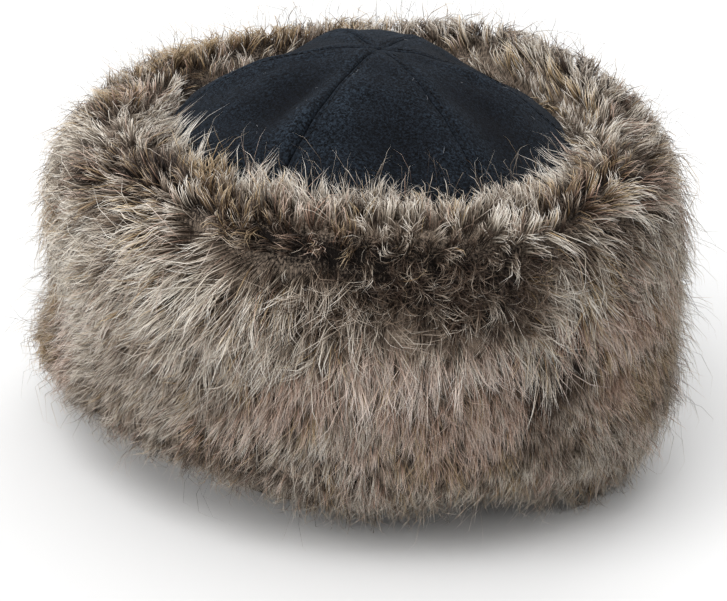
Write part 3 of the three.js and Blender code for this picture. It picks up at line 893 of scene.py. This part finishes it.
# Modacrylic pile hair: dark at the root, taupe along its length and pale at the tip, with a soft
# sheen. The first number of its map says which colour a hair is, and the second how far up it is.
pile_hair = new_material("modacrylic_pile_hair")
hair_map = add_node(pile_hair, "ShaderNodeUVMap", uv_map="OFBake")
hair_place = add_node(pile_hair, "ShaderNodeSeparateXYZ", links={"Vector": hair_map.outputs["UV"]})
length_place = hair_place.outputs["Y"]
hair_colours = []
for column in (1, 2, 3):
    dye_ramp = add_node(pile_hair, "ShaderNodeValToRGB", links={"Fac": hair_place.outputs["X"]})
    set_stops(dye_ramp, *[(dye[0], dye[column]) for dye in HAIR_DYES])
    hair_colours.append(dye_ramp.outputs["Color"])
root_colour, middle_colour, tip_colour = hair_colours
to_middle = add_node(
    pile_hair, "ShaderNodeMapRange", {"From Min": 0.15, "From Max": 0.52}, {"Value": length_place}
)
to_tip = add_node(
    pile_hair, "ShaderNodeMapRange", {"From Min": 0.46, "From Max": 0.84}, {"Value": length_place}
)
lower_hair = add_node(
    pile_hair,
    "ShaderNodeMix",
    links={0: to_middle.outputs["Result"], 6: root_colour, 7: middle_colour},
    data_type="RGBA",
)
whole_hair = add_node(
    pile_hair,
    "ShaderNodeMix",
    links={0: to_tip.outputs["Result"], 6: lower_hair.outputs[2], 7: tip_colour},
    data_type="RGBA",
)
hair_shader = add_node(
    pile_hair,
    "ShaderNodeBsdfPrincipled",
    {"Roughness": 0.5, "Specular IOR Level": 0.3},
    {"Base Color": whole_hair.outputs[2]},
)
add_node(pile_hair, "ShaderNodeOutputMaterial", links={"Surface": hair_shader.outputs["BSDF"]})


def grow_hair(zone, seed):
    """One zone's hair: paths and widths, the place of each hair's dye, its steps and its turn."""
    name, start, end, wisps, hairs, bends, reach, rise, depth, size, pull, wave, *rest = zone
    width, variety, unruly, zone_tone, loose = rest
    rng = np.random.default_rng(seed)

    # wisps: where each is rooted
    order = np.arange(wisps)
    azimuth = 360 * ((order * STEP_ROUND + seed * 0.31) % 1)
    azimuth = azimuth + rng.normal(0, HAIR_CHANCE["azimuth"], wisps)
    share = start + (end - start) * ((order * STEP_DOWN + seed * 0.17) % 1)
    share = share + rng.normal(0, HAIR_CHANCE["share"], wisps)
    ruffle = np.clip(patch_values(azimuth, share)[3], 0, 1)
    keeping = ruffle if name == "tangle" else 1 - RUFFLED_AWAY * ruffle
    kept = rng.uniform(0, 1, wisps) < keeping
    azimuth, share = azimuth[kept], share[kept]
    wisps = len(azimuth)
    stops, *combing = np.array(COMBING, float).T
    combing = (np.interp(turn_between(azimuth, 0), stops, column) for column in combing)
    comb_drift, parting, softness, first, inward_length = combing
    share = np.where(share < first, 2 * first - share, share)
    place = pile_point(azimuth, share, np.zeros(wisps))
    waves = {what: much * ripple(place, *wide) for what, (much, *wide) in HAIR_RIPPLES.items()}
    tone, rose, gold, ruffle = patch_values(azimuth, share)
    mess = np.clip(ruffle, 0, 1)
    calm = unruly * (1 - CALMED * np.clip(-ruffle, 0, 1))

    # wisps: which way each is combed, how high it stands, how long it is and how it curls
    from_parting = share - parting - waves["parting"]
    outwards = np.clip(from_parting / softness, -1, 1)
    standing = 1 - np.abs(outwards)
    mixed = rng.uniform(-MIXED_AT_PARTING, MIXED_AT_PARTING, wisps)
    sign = np.where(outwards + mixed < 0, -1, 1)
    outwards = sign * np.maximum(np.abs(outwards), LEAST_OUTWARDS)
    below = np.where(comb_drift < 0, DRIFT_BELOW_LEFT, DRIFT_BELOW_RIGHT)
    near_parting = np.exp(-((from_parting / PARTING_REACH) ** 2))
    drift = comb_drift * (below + (DRIFT_AT_PARTING - below) * near_parting)
    drift = drift + waves["drift"] + unruly * waves["wisp drift"]
    drift = drift + rng.normal(0, HAIR_CHANCE["drift"], wisps) * calm
    drift = drift + mess * rng.uniform(-MESSY_DRIFT, MESSY_DRIFT, wisps)
    climb = rise + CLIMB_AT_PARTING * standing + unruly * waves["climb"] + MESSY_CLIMB * mess
    climb = climb + rng.normal(0, HAIR_CHANCE["climb"], wisps) * calm
    longer = waves["reach"] + rng.normal(0, HAIR_CHANCE["reach"], wisps)
    stretch = reach * outwards * (1 + longer)
    stretch = stretch * np.where(sign < 0, inward_length, 1)
    stretch = stretch * (1 - MESSY_SHORTER * mess * (name != "tangle"))
    tone = tone + zone_tone + waves["tone"] + variety * waves["wisp tone"]
    tone = tone + rng.normal(0, variety, wisps)
    rose = rose + waves["rose"]
    gold = gold + waves["gold"]
    phase = rng.uniform(0, 2 * math.pi, wisps)
    turns = rng.uniform(*HAIR_RANGES["bends"], wisps)
    curl = rng.normal(0, HAIR_CHANCE["curl"], wisps) * calm
    curl = curl + MESSY_CURL * mess * rng.uniform(-1, 1, wisps)
    sway = wave * rng.uniform(*HAIR_RANGES["sway"], wisps)

    def spread(values):
        """A wisp's value for each of its hairs."""
        return np.repeat(values, hairs)[:, None]

    # hairs: each starts at its own spot in the wisp and closes in on the wisp's middle
    count = wisps * hairs
    spot = rng.uniform(0, 2 * math.pi, count)[:, None]
    far = size * np.sqrt(rng.uniform(0, 1, count))[:, None]
    is_loose = (rng.uniform(0, 1, count) < loose)[:, None]
    t = np.array(HAIR_STEPS[bends])[None]
    closing = pull * rng.uniform(*HAIR_RANGES["closing"], count)[:, None] * (1 - 0.7 * spread(mess))
    closing = np.where(is_loose, 0, closing)
    across = far * np.cos(spot) * (1 - closing * t)
    across = across + spread(sway) * t * np.sin(spread(phase) + spread(turns) * t)
    length = spread(stretch) * rng.uniform(*HAIR_RANGES["length"], count)[:, None]
    along = length * np.where(is_loose, STRAY_LENGTH, 1) * t
    rooted = far * np.sin(spot) * (1 - 0.5 * closing * t)
    stray = np.where(is_loose, rng.normal(0, STRAY_TURN, count)[:, None], 0)
    bending = spread(curl) + rng.normal(0, HAIR_CHANCE["hair bend"], count)[:, None]
    bending = bending + MESSY_BEND * spread(mess) * rng.normal(0, 1, (count, 1))
    own_drift = rng.normal(0, HAIR_CHANCE["hair drift"], count)[:, None]
    turned = np.radians(spread(drift) + (t - 0.5) * bending + own_drift + stray)
    forward = along * np.cos(turned) + rooted
    sideways = np.abs(along) * np.sin(turned) + across

    # hairs: each rises from its root in the underfur and levels out
    lifting = spread(climb) + rng.normal(0, HAIR_CHANCE["hair climb"], count)[:, None]
    lifting = lifting + np.where(is_loose, rng.uniform(*HAIR_RANGES["stray lift"], count)[:, None], 0)
    deep = depth * np.clip(0.3 + 7 * spread(share), 0.3, 1)
    own_root = rng.normal(0, HAIR_CHANCE["hair root"], count)[:, None]
    risen = 1 - (1 - t) ** RISE_CURVE
    lift = deep + own_root + (lifting + depth - deep) * risen
    reading = pile_reading(np.repeat(azimuth, hairs), np.clip(np.repeat(share, hairs), 0, 1))
    hair_azimuth = spread(azimuth) + np.degrees(sideways / reading[:, :1])
    paths = pile_point(hair_azimuth, spread(share) + forward / reading[:, 4:], lift)
    widths = width * rng.uniform(*HAIR_RANGES["width"], count)
    widths = widths * np.where(is_loose[:, 0], STRAY_WIDTH, 1)

    # hairs: the dye of each, darkened by painted shade along the parting and in its pits and grooves, with
    # some guard hairs paler or darker than the rest of their wisp
    guard = rng.uniform(0, 1, count)
    hair_tone = spread(tone)[:, 0] + rng.normal(0, HAIR_CHANCE["hair tone"], count)
    pale, dark = guard < GUARD_SHARE, guard > 1 - GUARD_SHARE
    hair_tone = hair_tone + (0.3 + 0.9 * variety) * (pale * 1.0 - dark)
    hue = rng.normal(0, HAIR_CHANCE["hue"], count)
    is_rose = spread(rose)[:, 0] + hue > HUE_LIMIT
    is_gold = spread(gold)[:, 0] - hue > HUE_LIMIT
    family = np.where(is_rose, 1, np.where(is_gold, 2, 0))
    tint = np.clip(MIDDLE_TONE + TONE_STEP * hair_tone, 0.03, 0.97)
    dye = np.choose(family, [first_dye + far_dye * tint for first_dye, far_dye in HAIR_FAMILIES])
    return paths, widths, dye, t[0], rng.uniform(0, 6, count)


def keep_clear(paths):
    """Paths lifted off the felt and the floor."""
    radius = np.hypot(paths[..., 0], paths[..., 1])
    azimuth = np.degrees(np.arctan2(paths[..., 0], -paths[..., 1]))
    ground = felt_height(np.minimum(radius, FELT_WALL_RADIUS), azimuth) + HAIR_GAP
    over_crown = radius < FELT_WALL_RADIUS + HAIR_GAP
    paths[..., 2] = np.where(over_crown, np.maximum(paths[..., 2], ground), paths[..., 2])
    paths[..., 2] = np.maximum(paths[..., 2], HAIR_GAP)
    return paths


def spindles(paths, widths, spin):
    """Points and faces of many hairs, each from its root over rings of three points to its tip."""
    count, steps = paths.shape[:2]
    along = paths[:, -1] - paths[:, 0]
    along /= np.linalg.norm(along, axis=1, keepdims=True) + 1e-9
    pole = np.where(np.abs(along[:, 2:]) < 0.8, (0.0, 0.0, 1.0), (1.0, 0.0, 0.0))
    side = np.cross(along, pole)
    side /= np.linalg.norm(side, axis=1, keepdims=True)
    up = np.cross(along, side)
    angle = (spin[:, None] + np.arange(3) * 2 * math.pi / 3)[..., None]
    ring = (np.cos(angle) * side[:, None] + np.sin(angle) * up[:, None])[:, None] / 2
    rings = paths[:, 1:-1, None] + ring * widths[:, :, None, None]
    points = np.concatenate([paths[:, :1], rings.reshape(count, -1, 3), paths[:, -1:]], 1)
    last = 3 * steps - 5
    one_hair = [(2, 1, 0), (3, 2, 0), (1, 3, 0), (last - 3, last - 2, last)]
    one_hair += [(last - 2, last - 1, last), (last - 1, last - 3, last)]
    for low in range(1, last - 3, 3):
        for a, b in ((low, low + 1), (low + 1, low + 2), (low + 2, low)):
            one_hair += [(a, b, b + 3), (a, b + 3, a + 3)]
    faces = (np.arange(count) * (last + 1))[:, None, None] + np.array(one_hair)
    return points.reshape(-1, 3), faces.reshape(-1, 3)


for number, zone in enumerate(HAIR_ZONES):
    paths, widths, dye, steps, spin = grow_hair(zone, number + 1)
    taper = np.minimum(1, TAPER * (1 - steps[1:-1]))
    points, faces = spindles(keep_clear(paths), widths[:, None] * taper, spin)
    hair = mesh_object(f"fur_{zone[0]}", points, [faces])
    inner_steps = np.repeat(steps[1:-1], 3)
    turn = np.tile([-1, 0, 1], len(steps) - 2)
    u = dye[:, None] + U_WIDTH * np.concatenate([[0], turn, [0]])
    up_hair = np.concatenate([[0], inner_steps, [1]])
    v = np.broadcast_to(V_MARGIN + (1 - 2 * V_MARGIN) * up_hair, u.shape)
    uv_points = np.stack([u, v], -1).reshape(-1, 2)[faces.ravel()].astype(np.float32)
    hair.data.uv_layers.new(name="OFBake")
    hair.data.uv_layers["OFBake"].uv.foreach_set("vector", uv_points.ravel())
    hair.data.materials.append(pile_hair)
    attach(hair, "root")
    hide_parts("fur_cuff")

# The hat lies on a plain pale table top, matt and smooth, wide enough to fill the picture.
FLOOR_SIZE = 8
floor_mesh = bpy.data.meshes.new("table_top")
half = FLOOR_SIZE / 2
floor_corners = [(-half, -half, 0), (half, -half, 0), (half, half, 0), (-half, half, 0)]
floor_mesh.from_pydata(floor_corners, [], [(0, 1, 2, 3)])
floor = bpy.data.objects.new("table_top", floor_mesh)
scene.collection.objects.link(floor)
laminate = new_material("matt_white_laminate")
laminate_shader = add_node(
    laminate, "ShaderNodeBsdfPrincipled", {"Roughness": 0.8, "Base Color": linear(0xDBDBDB)}
)
add_node(laminate, "ShaderNodeOutputMaterial", links={"Surface": laminate_shader.outputs["BSDF"]})
floor_mesh.materials.append(laminate)

# Soft studio light: a room that is brighter overhead, large panels above, at the left and behind.
HORIZON_STRENGTH = 0.6
ZENITH_STRENGTH = 1.0
world = bpy.data.worlds.new("bright_room")
world.use_nodes = True
sky = add_node(world, "ShaderNodeTexCoord").outputs["Generated"]
height_of_sky = add_node(world, "ShaderNodeSeparateXYZ", links={"Vector": sky}).outputs["Z"]
sky_strength = add_node(
    world,
    "ShaderNodeMapRange",
    {"From Min": 0, "From Max": 1, "To Min": HORIZON_STRENGTH, "To Max": ZENITH_STRENGTH},
    {"Value": height_of_sky},
)
background = world.node_tree.nodes["Background"]
background.inputs["Color"].default_value = (1, 1, 1, 1)
world.node_tree.links.new(sky_strength.outputs["Result"], background.inputs["Strength"])
scene.world = world
scene.view_settings.view_transform = "Standard"
LIGHTS = [
    # name, place in metres, size, watts
    ("panel_above", (-0.6, -0.7, 1.7), 1.1, 20),
    ("panel_left", (-1.8, -0.9, 0.8), 1.0, 22),
    ("panel_behind", (0.4, 1.3, 1.3), 1.2, 12),
]
for name, place, size, watts in LIGHTS:
    light = bpy.data.lights.new(name, "AREA")
    light.size = size
    light.energy = watts
    lamp = bpy.data.objects.new(name, light)
    lamp.location = place
    lamp.rotation_mode = "QUATERNION"
    lamp.rotation_quaternion = (HAT_MIDDLE - Vector(place)).to_track_quat("-Z", "Y")
    scene.collection.objects.link(lamp)
